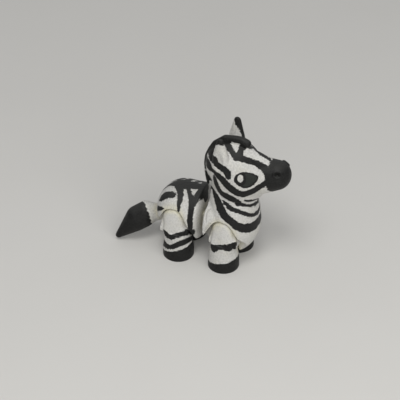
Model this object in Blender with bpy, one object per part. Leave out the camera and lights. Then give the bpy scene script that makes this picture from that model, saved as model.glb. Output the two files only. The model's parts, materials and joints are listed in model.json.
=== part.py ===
"""A small jointed toy zebra, printed in place: two body halves, four legs and a tail.

The figure looks along +X and stands on its four hooves. Its right side is at -Y.
Its proportions are given in parts, PARTS_HIGH of them from the soles to the ear tips.
The clearances and the parts of the joints are sizes of their own, in metres.
"""

import math

import bmesh
import bpy
from mathutils import Vector

# Driving sizes in metres
FIGURE_HEIGHT = 0.0508
JOINT_GAP = 0.00042
TONGUE_RADIUS = 0.0040
TONGUE_THICKNESS = 0.0044
TAIL_KNUCKLE_RADIUS = 0.0022
PRINT_GRAIN = 0.00036

# Proportions in parts of the height
PARTS_HIGH = 154.0
TRACK = 36.0
WHEELBASE = 50.0
WAIST_BACK = 24.0
WAIST_OPEN = 2.0

# Pose in degrees, seen from above, and positive to the figure's left
REAR_TURN = 5.0

# Legs in parts
HOOF_RADIUS = 15.5
HOOF_HEIGHT = 9.0
ANKLE_RADIUS = 12.6
BOOT_HEIGHT = 31.0
RIM_ROUND = 2.0
POST_ROUND = 4.0
SOLE_DEPTH = 3.0
DOME_RADIUS = 11.6
DOME_HEIGHT = 46.4
DOME_OUT = 28.4
LEG_IN = 13.0
SHOULDER_OUT = 25.4
SHOULDER_SPREAD = 14.5
SHOULDER_LOW = 34.0
ARCH_SPREAD = 20.0
FRONT_DOME_SHIFT = 1.5
HIND_DOME_SHIFT = -2.4

# Places and half-sizes of the body's masses in parts, from the ground between the front hooves
CHEST = ((4.0, 0.0, 43.0), (25.0, 31.0, 30.0))
SHOULDERS = ((3.5, 0.0, 60.0), (25.0, 27.0, 16.0))
FRONT_WAIST_HALF = (5.0, 30.0, 28.5)
FRONT_WAIST_UP = 45.5
NECK = ((2.5, 0.0, 82.0), (24.0, 20.5, 8.0))
NECK_TOP = ((3.0, 0.0, 100.0), (20.0, 18.0, 8.0))
SKULL = ((2.5, 0.0, 111.5), (28.5, 24.0, 27.5))
CHEEKS = ((10.0, 0.0, 98.0), (27.0, 23.5, 15.0))
JAW_RIM = ((8.0, 0.0, 84.5), (24.5, 21.5, 4.5))
BROW = ((16.0, 0.0, 111.0), (18.0, 21.0, 12.0))
BRIDGE = ((12.0, 0.0, 118.0), (16.0, 12.0, 19.0))
MUZZLE = ((47.8, 0.0, 114.0), (13.8, 14.5, 14.8))
NOSE_TOP = ((43.0, 0.0, 117.0), (10.0, 10.0, 11.5))

# Ears in parts
EAR_SIDE = 20.0
EAR_ALONG = -3.4
EAR_LEAN = 1.0
EAR_TIP = (3.6, 2.4, 3.2)
EAR_BASE = (8.2, 6.0, 7.0)
EAR_BASE_UP = 132.0
EAR_FOOT = (9.0, 5.0, 10.0)
EAR_FOOT_UP = 122.0
EAR_CUP = (6.6, 3.8, 15.0)
EAR_CUP_UP = 131.0
EAR_CUP_OUT = 26.5

# Mane ridge in parts: its crest along and up, on the figure's middle plane
MANE_CREST = (
    (17.4, 145.0), (12.0, 146.8), (4.0, 146.4), (-8.0, 144.0), (-20.0, 133.5), (-25.0, 124.5),
    (-28.5, 115.0), (-29.4, 105.0), (-28.5, 94.0), (-25.8, 82.0),
)
MANE_RADIUS = 4.2

# Rear half in parts: the rump from the ground between the hind hooves, and its end at the waist
RUMP = ((-2.0, 0.0, 45.7), (25.0, 31.0, 25.6))
REAR_WAIST_HALF = (5.0, 29.5, 28.0)
REAR_WAIST_UP = 45.0

# Waist and tail joints, heights and places in parts
TONGUE_UP = 44.0
TAIL_ROOT = (-23.5, 0.0, 31.0)
TAIL_COLLAR = ((-31.0, -2.0, 31.0), (6.0, 8.5, 9.8))
TAIL_SWELL = ((-39.5, -6.5, 29.6), (10.5, 12.0, 14.4))
TAIL_BEND = ((-47.5, -11.0, 25.0), (11.0, 11.5, 14.0))
TAIL_TIP = ((-64.0, -19.0, 5.5), (3.0, 3.0, 3.2))

# Shares of the fine mesh that each piece keeps
BODY_KEEP = 0.052
LEG_KEEP = 0.045
TAIL_KEEP = 0.06

PART = FIGURE_HEIGHT / PARTS_HIGH
BALL_SEGMENTS = 24
BALL_RINGS = 14
EDGE_STEPS = 5
FAR_AWAY = 60.0


def clear_scene():
    """Remove whatever the scene holds before the model is made."""
    for old in list(bpy.data.objects):
        bpy.data.objects.remove(old, do_unlink=True)


def plastic(name, colour, roughness):
    """One matte printed plastic."""
    material = bpy.data.materials.new(name)
    material.use_nodes = True
    shader = material.node_tree.nodes["Principled BSDF"]
    shader.inputs["Base Color"].default_value = (*colour, 1.0)
    shader.inputs["Roughness"].default_value = roughness
    shader.inputs["Metallic"].default_value = 0.0
    return material


def ball(centre, radii, grow=0.0):
    """Points of an ellipsoid, given in parts and grown by a length in metres."""
    middle = Vector(centre) * PART
    half = [r * PART + grow for r in radii]
    points = []
    for ring in range(BALL_RINGS + 1):
        tilt = math.pi * ring / BALL_RINGS
        for step in range(BALL_SEGMENTS):
            turn = math.tau * step / BALL_SEGMENTS
            unit = (math.sin(tilt) * math.cos(turn), math.sin(tilt) * math.sin(turn), math.cos(tilt))
            points.append(middle + Vector(u * h for u, h in zip(unit, half)))
    return points


def disc(along, side, up, radius, grow=0.0):
    """Points of a level circle, given in parts and grown by a length in metres."""
    middle = Vector((along, side, up)) * PART
    reach = radius * PART + grow
    turns = [math.tau * step / BALL_SEGMENTS for step in range(BALL_SEGMENTS)]
    return [middle + Vector((reach * math.cos(t), reach * math.sin(t), 0.0)) for t in turns]


def add_hull(target, points):
    """Wrap points in their tightest convex form and add it to the mesh."""
    form = bmesh.new()
    for point in points:
        form.verts.new(point)
    bmesh.ops.remove_doubles(form, verts=form.verts, dist=PART * 0.01)
    result = bmesh.ops.convex_hull(form, input=form.verts)
    spare = {v for v in result["geom_interior"] + result["geom_unused"] if isinstance(v, bmesh.types.BMVert)}
    bmesh.ops.delete(form, geom=list(spare), context="VERTS")
    bmesh.ops.recalc_face_normals(form, faces=form.faces)
    carrier = bpy.data.meshes.new("form")
    form.to_mesh(carrier)
    form.free()
    target.from_mesh(carrier)
    bpy.data.meshes.remove(carrier)


def make_object(name, forms, parent):
    """One object whose mesh holds each form as a closed hull."""
    target = bmesh.new()
    for points in forms:
        add_hull(target, points)
    mesh = bpy.data.meshes.new(name)
    target.to_mesh(mesh)
    target.free()
    made = bpy.data.objects.new(name, mesh)
    bpy.context.scene.collection.objects.link(made)
    made.parent = parent
    return made


def make_cutter(name, forms, parent):
    """A tool body that is cut away and left out of the model."""
    cutter = make_object(name, forms, parent)
    cutter.hide_render = True
    cutter.display_type = "WIRE"
    return cutter


def melt_together(made, grain, smoothing, keep):
    """Join the overlapping forms into one skin, soften it and thin its mesh."""
    skin = made.modifiers.new("skin", "REMESH")
    skin.mode = "VOXEL"
    skin.voxel_size = grain
    soften = made.modifiers.new("soften", "SMOOTH")
    soften.factor = 0.5
    soften.iterations = smoothing
    thin = made.modifiers.new("thin", "DECIMATE")
    thin.ratio = keep


def cut(made, cutter):
    """Cut the tool body away."""
    removal = made.modifiers.new("cut_" + cutter.name, "BOOLEAN")
    removal.operation = "DIFFERENCE"
    removal.solver = "EXACT"
    removal.object = cutter


def finish(made, material):
    """Give a piece its plastic and smooth shading."""
    made.data.materials.append(material)
    made.data.shade_smooth()


def dome_points(shift, side, outer, inner, radius, grow):
    """Points of the round top of a leg: a thick disc with rounded rims, its axis sideways."""
    points = []
    rim = POST_ROUND
    for step in range(BALL_SEGMENTS):
        turn = math.tau * step / BALL_SEGMENTS
        for depth in range(EDGE_STEPS):
            bend = math.pi / 2 * depth / (EDGE_STEPS - 1)
            reach = (radius - rim + rim * math.cos(bend)) * PART + grow
            for face, sign in ((outer, 1.0), (inner, -1.0)):
                out = side * ((face - sign * rim + sign * rim * math.sin(bend)) * PART + sign * grow)
                along = shift * PART + reach * math.cos(turn)
                up = DOME_HEIGHT * PART + reach * math.sin(turn)
                points.append(Vector((along, out, up)))
    return points


def tent_points(shift, side, outer, inner, spread, low, grow):
    """Points of a round top with sloping flanks, down to a height in parts."""
    points = []
    for out, sign in ((outer, 1.0), (inner, -1.0)):
        away = side * (out * PART + sign * grow)
        for step in range(BALL_SEGMENTS // 2 + 1):
            turn = math.pi * step / (BALL_SEGMENTS // 2)
            reach = DOME_RADIUS * PART + grow
            along = shift * PART + reach * math.cos(turn)
            points.append(Vector((along, away, DOME_HEIGHT * PART + reach * math.sin(turn))))
        for end in (-1.0, 1.0):
            along = shift * PART + end * (spread * PART + grow)
            points.append(Vector((along, away, SHOULDER_LOW * PART)))
            points.append(Vector((along, away, low * PART)))
    return points


def boot_points(side, grow):
    """Points of the boot: a hoof that narrows to an ankle with a rounded rim."""
    middle = side * TRACK / 2
    points = disc(0.0, middle, -SOLE_DEPTH, HOOF_RADIUS, grow)
    points += disc(0.0, middle, HOOF_HEIGHT, HOOF_RADIUS, grow)
    for depth in range(EDGE_STEPS):
        bend = math.pi / 2 * depth / (EDGE_STEPS - 1)
        reach = ANKLE_RADIUS - RIM_ROUND + RIM_ROUND * math.cos(bend)
        rise = BOOT_HEIGHT - RIM_ROUND + RIM_ROUND * math.sin(bend)
        points += disc(0.0, middle, rise + grow / PART, reach, grow)
    return points


def post_points(shift, side):
    """Points of the flat-sided post that carries a leg's round top."""
    top = dome_points(shift, side, DOME_OUT, LEG_IN, DOME_RADIUS, 0.0)
    base = [point - Vector((shift * PART, 0.0, (DOME_HEIGHT - HOOF_HEIGHT) * PART)) for point in top]
    return top + base


def make_leg(name, side, shift, parent, ground, material):
    """One leg: boot, post with its round top, and shoulder."""
    forms = [
        boot_points(side, 0.0),
        post_points(shift, side),
        tent_points(shift, side, SHOULDER_OUT, LEG_IN, SHOULDER_SPREAD, BOOT_HEIGHT - RIM_ROUND, 0.0),
    ]
    leg = make_object(name, forms, parent)
    melt_together(leg, PRINT_GRAIN, 2, LEG_KEEP)
    cut(leg, ground)
    finish(leg, material)
    return leg


def cut_leg_room(body, side, shift, parent):
    """The arch in a body's flank, the leg's own form with the joint gap all round."""
    forms = [tent_points(shift, side, FAR_AWAY, LEG_IN, ARCH_SPREAD, HOOF_HEIGHT, JOINT_GAP)]
    arch = make_cutter(body.name + "_arch_" + ("left" if side > 0 else "right"), forms, parent)
    sweep = [boot_points(side, JOINT_GAP)]
    room = make_cutter(body.name + "_boot_room_" + ("left" if side > 0 else "right"), sweep, parent)
    cut(body, arch)
    cut(body, room)


def mane_forms():
    """The mane ridge: short hulls along its crest."""
    forms = []
    for start, end in zip(MANE_CREST[:-1], MANE_CREST[1:]):
        points = []
        for along, up in (start, end):
            inward = (Vector((SKULL[0][0], 0.0, SKULL[0][2])) - Vector((along, 0.0, up))).normalized()
            middle = Vector((along, 0.0, up)) + inward * MANE_RADIUS
            points += ball(middle, (MANE_RADIUS, MANE_RADIUS, MANE_RADIUS))
        forms.append(points)
    return forms


def ear_forms(side):
    """One ear: a leaf that stands on the side of the skull."""
    tip = ball((EAR_ALONG, side * EAR_SIDE, PARTS_HIGH - EAR_TIP[2]), EAR_TIP)
    base = ball((EAR_ALONG, side * (EAR_SIDE - EAR_LEAN), EAR_BASE_UP), EAR_BASE)
    foot = ball((EAR_ALONG, side * EAR_SIDE, EAR_FOOT_UP), EAR_FOOT)
    return [tip + base, base + foot]


def make_front_body(parent, material):
    """Chest, neck, head, ears and mane as one print, with the waist tongue."""
    waist_along = -WAIST_BACK + WAIST_OPEN + FRONT_WAIST_HALF[0]
    waist = ball((waist_along, 0.0, FRONT_WAIST_UP), FRONT_WAIST_HALF)
    forms = [
        ball(*CHEST) + waist,
        ball(*CHEST) + ball(*SHOULDERS),
        ball(*SHOULDERS) + ball(*NECK),
        ball(*NECK) + ball(*NECK_TOP),
        ball(*SKULL) + ball(*CHEEKS) + ball(*JAW_RIM),
        ball(*CHEEKS) + ball(*BROW) + ball(*MUZZLE),
        ball(*BRIDGE) + ball(*NOSE_TOP),
    ]
    forms += mane_forms()
    for side in (-1.0, 1.0):
        forms += ear_forms(side)
    body = make_object("front_body", forms, parent)
    melt_together(body, PRINT_GRAIN, 6, BODY_KEEP)
    for side in (-1.0, 1.0):
        cup = ball((EAR_ALONG, side * EAR_CUP_OUT, EAR_CUP_UP), EAR_CUP)
        cut(body, make_cutter("ear_cup_" + ("left" if side > 0 else "right"), [cup], parent))
        cut_leg_room(body, side, FRONT_DOME_SHIFT, parent)
    tongue = make_object("tongue", [tongue_points(0.0)], parent)
    tongue.location = Vector((-WAIST_BACK, 0.0, TONGUE_UP)) * PART
    tongue.hide_render = True
    tongue.display_type = "WIRE"
    join = body.modifiers.new("add_tongue", "BOOLEAN")
    join.operation = "UNION"
    join.solver = "EXACT"
    join.object = tongue
    finish(body, material)
    return body


def tongue_points(grow):
    """Points of the waist tongue: a level round plate that reaches forward into the front half."""
    reach = TONGUE_RADIUS + grow
    half = TONGUE_THICKNESS / 2 + grow
    points = []
    for step in range(BALL_SEGMENTS):
        turn = math.tau * step / BALL_SEGMENTS
        for up in (-half, half):
            points.append(Vector((reach * math.cos(turn), reach * math.sin(turn), up)))
            points.append(Vector((reach * math.cos(turn) + TONGUE_RADIUS, reach * math.sin(turn), up)))
    return points


def make_rear_body(parent, hips, material):
    """The rump, with the slot for the tongue and the socket for the tail."""
    hind = WAIST_BACK - WHEELBASE
    waist_along = -WAIST_OPEN - REAR_WAIST_HALF[0]
    rump_place = (hind + RUMP[0][0], RUMP[0][1], RUMP[0][2])
    waist = ball((waist_along, 0.0, REAR_WAIST_UP), REAR_WAIST_HALF)
    forms = [ball(rump_place, RUMP[1]) + waist]
    body = make_object("rear_body", forms, parent)
    melt_together(body, PRINT_GRAIN, 4, BODY_KEEP)
    for side in (-1.0, 1.0):
        cut_leg_room(body, side, HIND_DOME_SHIFT, hips)
    slot = make_cutter("tongue_slot", [tongue_points(JOINT_GAP)], parent)
    slot.location = Vector((0.0, 0.0, TONGUE_UP)) * PART
    cut(body, slot)
    socket = make_cutter("tail_socket", [tail_root(JOINT_GAP)], hips)
    cut(body, socket)
    finish(body, material)
    return body


def tail_root(grow):
    """Points of the tail's root: the round knuckle that sits in the rump, and the collar behind it."""
    knuckle = ball(TAIL_ROOT, (0.0, 0.0, 0.0), TAIL_KNUCKLE_RADIUS + grow)
    return knuckle + ball(*TAIL_COLLAR, grow)


def make_tail(hips, material):
    """The tail: knuckle, root and drooping tuft."""
    forms = [
        tail_root(0.0),
        ball(*TAIL_COLLAR) + ball(*TAIL_SWELL),
        ball(*TAIL_SWELL) + ball(*TAIL_BEND),
        ball(*TAIL_BEND) + ball(*TAIL_TIP),
    ]
    tail = make_object("tail", forms, hips)
    melt_together(tail, PRINT_GRAIN, 3, TAIL_KEEP)
    finish(tail, material)
    return tail


def make_ground(parent):
    """The block that cuts the soles flat."""
    corners = []
    for along in (-FAR_AWAY, FAR_AWAY):
        for side in (-FAR_AWAY, FAR_AWAY):
            for up in (-FAR_AWAY, 0.0):
                corners.append(Vector((along, side, up)) * PART)
    return make_cutter("ground_cut_" + parent.name, [corners], parent)


def settle(root):
    """Move the figure so that the origin is under the middle of its box."""
    bpy.context.view_layer.update()
    graph = bpy.context.evaluated_depsgraph_get()
    low = Vector((math.inf,) * 3)
    high = Vector((-math.inf,) * 3)
    for item in bpy.data.objects:
        if item.type != "MESH" or item.hide_render:
            continue
        ready = item.evaluated_get(graph)
        for vertex in ready.data.vertices:
            place = ready.matrix_world @ vertex.co
            low = Vector(map(min, low, place))
            high = Vector(map(max, high, place))
    root.location = -Vector(((low.x + high.x) / 2, (low.y + high.y) / 2, low.z))


def make_empty(name, parent, location, turn):
    """A frame that pieces hang from."""
    empty = bpy.data.objects.new(name, None)
    bpy.context.scene.collection.objects.link(empty)
    empty.parent = parent
    empty.location = location
    empty.rotation_euler = (0.0, 0.0, math.radians(turn))
    return empty


def main():
    """Make the seven pieces."""
    clear_scene()
    white = plastic("printed_white", (0.80, 0.79, 0.76), 0.55)
    black = plastic("printed_black", (0.02, 0.02, 0.022), 0.5)
    root = make_empty("figure", None, Vector(), 0.0)
    rear = make_empty("rear_half", root, Vector((-WAIST_BACK * PART, 0.0, 0.0)), REAR_TURN)
    hips = make_empty("hips", rear, Vector(((WAIST_BACK - WHEELBASE) * PART, 0.0, 0.0)), 0.0)
    make_front_body(root, white)
    make_rear_body(rear, hips, white)
    front_ground = make_ground(root)
    hind_ground = make_ground(hips)
    for side, hand in ((-1.0, "right"), (1.0, "left")):
        make_leg("front_leg_" + hand, side, FRONT_DOME_SHIFT, root, front_ground, white)
        make_leg("hind_leg_" + hand, side, HIND_DOME_SHIFT, hips, hind_ground, white)
    make_tail(hips, black)
    settle(root)


main()
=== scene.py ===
"""The looks of a small jointed toy zebra, printed in place in white and black matte plastic."""

import json
import math

import bmesh
import bpy
import numpy as np
from mathutils import Matrix, Vector
from mathutils.bvhtree import BVHTree


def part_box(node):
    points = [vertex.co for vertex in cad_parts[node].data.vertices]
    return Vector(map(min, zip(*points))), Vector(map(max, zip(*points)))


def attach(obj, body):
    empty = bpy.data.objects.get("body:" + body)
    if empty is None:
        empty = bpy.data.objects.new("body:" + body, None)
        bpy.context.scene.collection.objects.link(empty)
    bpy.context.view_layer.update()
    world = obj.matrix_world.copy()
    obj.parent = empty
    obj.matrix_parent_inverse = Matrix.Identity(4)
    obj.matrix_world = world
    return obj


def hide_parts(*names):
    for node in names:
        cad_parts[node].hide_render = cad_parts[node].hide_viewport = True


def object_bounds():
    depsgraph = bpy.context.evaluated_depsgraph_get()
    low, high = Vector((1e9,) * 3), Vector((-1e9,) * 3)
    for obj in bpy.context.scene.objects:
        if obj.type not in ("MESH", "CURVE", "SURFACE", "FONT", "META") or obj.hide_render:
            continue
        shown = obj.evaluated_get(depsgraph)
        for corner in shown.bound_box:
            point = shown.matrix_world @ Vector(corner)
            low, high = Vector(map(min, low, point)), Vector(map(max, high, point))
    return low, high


bl_info = {
    "name": "Printed Zebra Figurine",
    "version": (1, 0, 0),
    "blender": (4, 5, 0),
    "location": "View3D > Sidebar > Zebra",
    "description": "Dresses a jointed toy zebra with its fine skin, stripes, eyes and studio",
    "category": "Object",
}

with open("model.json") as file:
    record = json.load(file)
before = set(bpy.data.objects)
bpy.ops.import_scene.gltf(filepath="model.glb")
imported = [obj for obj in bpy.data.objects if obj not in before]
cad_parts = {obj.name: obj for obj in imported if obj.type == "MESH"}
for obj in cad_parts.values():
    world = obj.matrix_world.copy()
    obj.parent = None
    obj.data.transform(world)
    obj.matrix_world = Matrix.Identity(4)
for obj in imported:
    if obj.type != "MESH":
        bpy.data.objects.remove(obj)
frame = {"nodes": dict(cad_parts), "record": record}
CAD_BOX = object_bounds()

# The solids' proportions are in parts, this many from the soles to the ear tips
PARTS_HIGH = 154.0
PART = (CAD_BOX[1].z - CAD_BOX[0].z) / PARTS_HIGH

# The view in pixels, degrees and millimetres, with its clipping in metres
IMAGE_SIZE = 400.0
VIEW_AZIMUTH = 25.0
VIEW_ELEVATION = 38.0
VIEW_LENS = 200.0
VIEW_SENSOR = 36.0
VIEW_CLIP = (0.01, 50.0)
FRONT_GROUND_PIXEL = (231.0, 253.5)

# Joints in metres, as in the solids
JOINT_GAP = 0.00042
TONGUE_RADIUS = 0.0040
TONGUE_THICKNESS = 0.0044
TAIL_KNUCKLE_RADIUS = 0.0022

# Legs in parts
TRACK = 36.0
WHEELBASE = 50.0
WAIST_BACK = 24.0
HOOF_RADIUS = 15.5
HOOF_HEIGHT = 9.0
ANKLE_RADIUS = 12.6
BOOT_HEIGHT = 31.0
RIM_ROUND = 2.0
POST_ROUND = 4.0
SOLE_DEPTH = 3.0
DOME_RADIUS = 11.6
DOME_HEIGHT = 46.4
DOME_OUT = 28.4
LEG_IN = 13.0
SHOULDER_OUT = 25.4
SHOULDER_SPREAD = 14.5
SHOULDER_LOW = 34.0
ARCH_SPREAD = 20.0
FRONT_DOME_SHIFT = 1.5
HIND_DOME_SHIFT = -2.4

# Places and half-sizes of the front half's masses in parts, from the ground between the front hooves
CHEST = ((4, 0, 43), (25, 31, 30))
SHOULDERS = ((3.5, 0, 60), (25, 27, 16))
FRONT_WAIST = ((-17, 0, 45.5), (5, 30, 28.5))
NECK = ((2.5, 0, 82), (24, 20.5, 8))
NECK_TOP = ((3, 0, 100), (20, 18, 8))
SKULL = ((2.5, 0, 111.5), (28.5, 24, 27.5))
CHEEKS = ((10, 0, 98), (27, 23.5, 15))
JAW_RIM = ((8, 0, 84.5), (24.5, 21.5, 4.5))
BROW = ((16, 0, 111), (18, 21, 12))
BRIDGE = ((12, 0, 118), (16, 12, 19))
MUZZLE = ((47.8, 0, 114), (13.8, 14.5, 14.8))
NOSE_TOP = ((43, 0, 117), (10, 10, 11.5))
EAR_TIP = ((-3.4, 20, 150.8), (3.6, 2.4, 3.2))
EAR_BASE = ((-3.4, 19, 132), (8.2, 6, 7))
EAR_FOOT = ((-3.4, 20, 122), (9, 5, 10))
EAR_CUP = ((-3.4, 26.5, 131), (6.6, 3.8, 15))
MANE_CREST = (
    (17.4, 145), (12, 146.8), (4, 146.4), (-8, 144), (-20, 133.5), (-25, 124.5),
    (-28.5, 115), (-29.4, 105), (-28.5, 94), (-25.8, 82),
)
MANE_RADIUS = 4.2

# Masses of the rear half in parts, from the ground between the hind hooves
RUMP = ((-2, 0, 45.7), (25, 31, 25.6))
REAR_WAIST = ((19, 0, 45), (5, 29.5, 28))
TONGUE_UP = 44.0
TAIL_ROOT = (-23.5, 0, 31)
TAIL_COLLAR = ((-31, -2, 31), (6, 8.5, 9.8))
TAIL_SWELL = ((-39.5, -6.5, 29.6), (10.5, 12, 14.4))
TAIL_BEND = ((-47.5, -11, 25), (11, 11.5, 14))
TAIL_TIP = ((-64, -19, 5.5), (3, 3, 3.2))

# Fineness of the hulls, and how near in parts two of their points are one
BALL_SEGMENTS = 56
BALL_RINGS = 32
EDGE_STEPS = 8
FAR_AWAY = 60.0
SAME_POINT = 0.01

# Rounds of softening for each skin, and each round's share
LEG_ROUNDS = 3
FRONT_ROUNDS = 12
REAR_ROUNDS = 6
TAIL_ROUNDS = 6
LAST_ROUNDS = 2
SOFTEN_SHARE = 0.5

# Black strokes on the near side of the head: x, y and width in pixels
HEAD_STROKES = {
    "nose": (
        (236.6, 157.4, 6.4), (240.5, 158.2, 6.2), (244.2, 159.4, 5.4), (248.2, 160.5, 5.6),
        (252.3, 161.7, 4.8), (256.4, 163.2, 5), (259.8, 165, 5.6), (265.5, 169, 7), (268, 172.5, 8),
    ),
    "forehead_near": ((226.4, 143.2, 6.6), (229.6, 148.2, 5.6), (232.6, 152.9, 4.8), (236, 157.6, 5.6)),
    "forehead_far": (
        (245.4, 143, 6), (243.4, 146, 5.4), (241, 150.2, 5.2), (239.6, 153.4, 5.6), (239.4, 157.4, 6),
    ),
    "ear_ring": (
        (229, 140.6, 5.4), (224, 140, 5.6), (218, 141, 5.2), (213, 144.6, 5.4), (210.6, 149.8, 5.2),
        (211.2, 154.6, 5.2), (212.6, 158.6, 5),
    ),
    "cheek": (
        (212.6, 158.6, 5), (215.8, 163.2, 4.8), (220.8, 167.4, 4.8), (224.8, 170.2, 5.6),
        (227.6, 173.2, 5.8), (228.2, 177, 5),
    ),
    "nape": (
        (206.8, 154.6, 2), (206.2, 158.6, 2.8), (207.4, 163.4, 5.4), (210.2, 167.8, 4.2), (213.4, 170.4, 3),
    ),
    "under_eye": (
        (213.4, 170.4, 3), (217.2, 174.5, 4.4), (221.2, 178.8, 5), (225.4, 183.8, 5.4), (229.4, 187.6, 5.6),
        (233, 190.4, 5.8), (237.6, 193.4, 5.2), (241.6, 194.6, 4.8), (245.6, 194.2, 5), (250.4, 192.4, 4.8),
        (255, 190.1, 4.4), (260.2, 186.6, 4.6), (264.6, 183.8, 5), (268, 181.8, 6.5),
    ),
    "nape_edge": ((205.6, 156.5, 2), (205.2, 162, 3.2), (205.8, 167.6, 2.4)),
    "nape_low": ((206.4, 172.4, 2.4), (208.6, 175.8, 5.2), (210, 177.8, 3.8)),
    "nape_low_edge": ((206.2, 171, 1.4), (206.6, 175, 2.8), (207.6, 179.6, 2.4), (208.2, 183, 1)),
    # The jaw's black stripe, whose right end under the chin is painted shadow
    "jaw_and_chin_shadow": (
        (214.2, 176.4, 1.4), (215.4, 180.8, 3.2), (216.8, 185.7, 4.2), (219.2, 190.6, 4.4),
        (222.6, 194.2, 4.4), (227.2, 196.8, 4.8), (231.8, 199.3, 5.2), (235.8, 201.6, 4.8),
        (240.4, 203.9, 3.2), (245, 205.4, 2.2), (251, 205.8, 2.2), (254.6, 203.9, 2.4), (258.4, 201.4, 1.6),
    ),
    "chin": ((244.8, 200.4, 0.8), (249.5, 201.1, 2), (254, 200.3, 1.6), (258.5, 198.8, 0.8)),
}
NECK_STROKES = {
    "collar": ((207.4, 182.6, 1.2), (210.2, 185.4, 1.2), (213, 189.4, 1.6)),
    "throat": (
        (223.2, 201.2, 1.4), (225.8, 203.5, 2.8), (228.8, 206.8, 4.4), (233, 209.8, 4.2),
        (238.5, 211.7, 3.4), (243.8, 213.3, 3.4), (248.6, 215, 3.2), (254, 214.8, 3), (257.4, 212.6, 3),
        (259, 209.6, 2.4),
    ),
    "chest": (
        (213, 189.4, 1.6), (214.2, 193, 3), (216.6, 198, 4.6), (218.6, 203.4, 6.2), (220.6, 209, 7.2),
        (223.2, 214.4, 7), (227.2, 218.6, 6.8), (231.8, 222.2, 6.9), (236.6, 226.2, 7.5),
        (243.5, 228.5, 8.4), (250.6, 227.6, 7.8), (255.4, 224.8, 6.6), (258.4, 220.8, 5.4),
    ),
}
RUMP_STROKES = {
    "flank": (
        (179.2, 185.6, 8.4), (180.2, 190.2, 6.2), (180.5, 195.6, 5.2), (180.1, 199.8, 4.6),
        (178.9, 204.2, 3.6), (178.5, 208.6, 2.6), (178.4, 211.4, 1.2),
    ),
    "band": (
        (187.4, 184, 5), (188.6, 189, 3.8), (190.2, 194.6, 4.2), (191.8, 199.6, 5.8), (191.6, 206, 5.4),
        (190.8, 212.6, 5), (189.8, 220, 5), (190, 226.6, 4.4), (190.6, 232, 4.8), (191.2, 237.6, 5),
    ),
    "arm": (
        (207.6, 186.6, 6), (203, 189.4, 7.2), (199.4, 193.2, 6), (196.2, 198.4, 5.6), (193.8, 204, 4.4),
    ),
    "drop": ((205.8, 189, 6), (206.6, 192.6, 4.8), (207.2, 195.2, 3.6), (207.2, 197.6, 2.6)),
    "half_moon": (
        (159.6, 200.2, 1.2), (162.4, 197.2, 4.8), (165.4, 195.3, 6.2), (169.5, 194.6, 6.4),
        (172.6, 194.9, 5.6),
    ),
    "tail_side": ((157.8, 208.4, 5.2), (160.8, 208.6, 3.2), (163.8, 208.6, 0.8)),
}
SPINE_STROKES = {
    "spine": (
        (163.8, 189.2, 0.8), (168.6, 185.2, 1.6), (173.6, 183, 4.8), (178.4, 182.6, 7.4), (184, 182.8, 8.4),
        (190, 184.4, 7), (196, 185.8, 5.6), (202, 186.4, 6.2), (207, 187.4, 6.4),
    ),
    "spine_far": (
        (178.4, 180.6, 2.4), (181, 178.2, 1.8), (185.4, 176.9, 1.3), (190.4, 177.6, 1.1),
        (194.4, 178.6, 0.9),
    ),
    "spine_line": (
        (186, 180.4, 3), (191, 179.4, 1.8), (196, 180, 1.3), (200.4, 181, 1.3), (206.4, 183.2, 2.2),
    ),
}
HIND_LEG_STROKES = {
    "upper": (
        (164, 231, 2), (167, 235.4, 3.8), (171, 237.4, 4.4), (179.5, 234.7, 4.4), (188, 232.4, 4),
        (193, 231, 3.6),
    ),
    "lower": (
        (161.8, 240, 3.6), (166.6, 245.8, 4.2), (171, 247.2, 4), (177, 245.2, 4.8), (184, 242.2, 4.6),
        (192.5, 237.8, 4),
    ),
}
FRONT_LEG_STROKES = {
    "band": (
        (211.2, 246.4, 3), (213.6, 248.6, 6.4), (219.5, 247.2, 4.2), (224.5, 247.6, 5), (229, 248.2, 6.2),
        (233.4, 246, 5), (236, 244.6, 2.6),
    ),
}
HIND_HOOF_LINE = ((163.5, 249), (168, 251.3), (176.1, 250.9), (185, 246.8), (192.5, 241.8))
FRONT_HOOF_LINE = ((208.5, 259.6), (212, 263.6), (220.7, 263.8), (231.4, 260.2), (238.4, 255.2))

# The eye on the near cheek in pixels, and the ramps of its iris from the outline and from the glint
EYE_OUTLINE = (
    (233.6, 180.2), (234.9, 175.6), (240, 172.5), (245, 171.9), (251, 172.6), (256.4, 174.8),
    (259.2, 177.2), (256.8, 182), (252, 186.8), (245.2, 188.9), (238.6, 186.4), (234.8, 183.2),
)
GLINT_CENTRE = (240.4, 178.6)
GLINT_RADII = (2.9, 3.9)
IRIS_RIM = (-1.3, -2.1)
PUPIL_RIM = (2.6, 4.0)
IRIS_GRIT = (0.2, 0.7)
EYE_SOFTNESS = 0.2
EYE_RAGGED = 0.5
CORNER_CUT = 0.25
CORNER_CUTS = 2
NOSTRIL_PIXEL = (277.4, 175.4)

# Where the cheek that carries the eye starts, in parts
CHEEK_INNER = 6.0
CHEEK_LOW = 80.0
CHEEK_BACK = 4.0

# Borders between the colours, in pixels, and the line on the bridge's far side with its width
MUZZLE_BORDER = ((271, 161.8), (265.6, 170), (264.8, 178), (265.8, 185.5), (269, 191))
BRIDGE_LINE = (
    (249.6, 146.6, 2.2), (254, 148.5, 2.8), (258, 151.2, 2.8), (262, 154.2, 2.6), (266, 156.9, 2.4),
    (270, 159.6, 2),
)
EAR_BORDER = (
    (233.4, 119.6), (234.5, 122), (235.4, 124.4), (237.6, 126.4), (239.4, 129.2), (240.5, 131.4),
    (241.3, 133.6), (242, 136.5),
)
TAIL_BORDER = ((142, 198.6), (144.8, 204.5), (147.8, 211), (150.6, 218), (153.6, 226))

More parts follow.
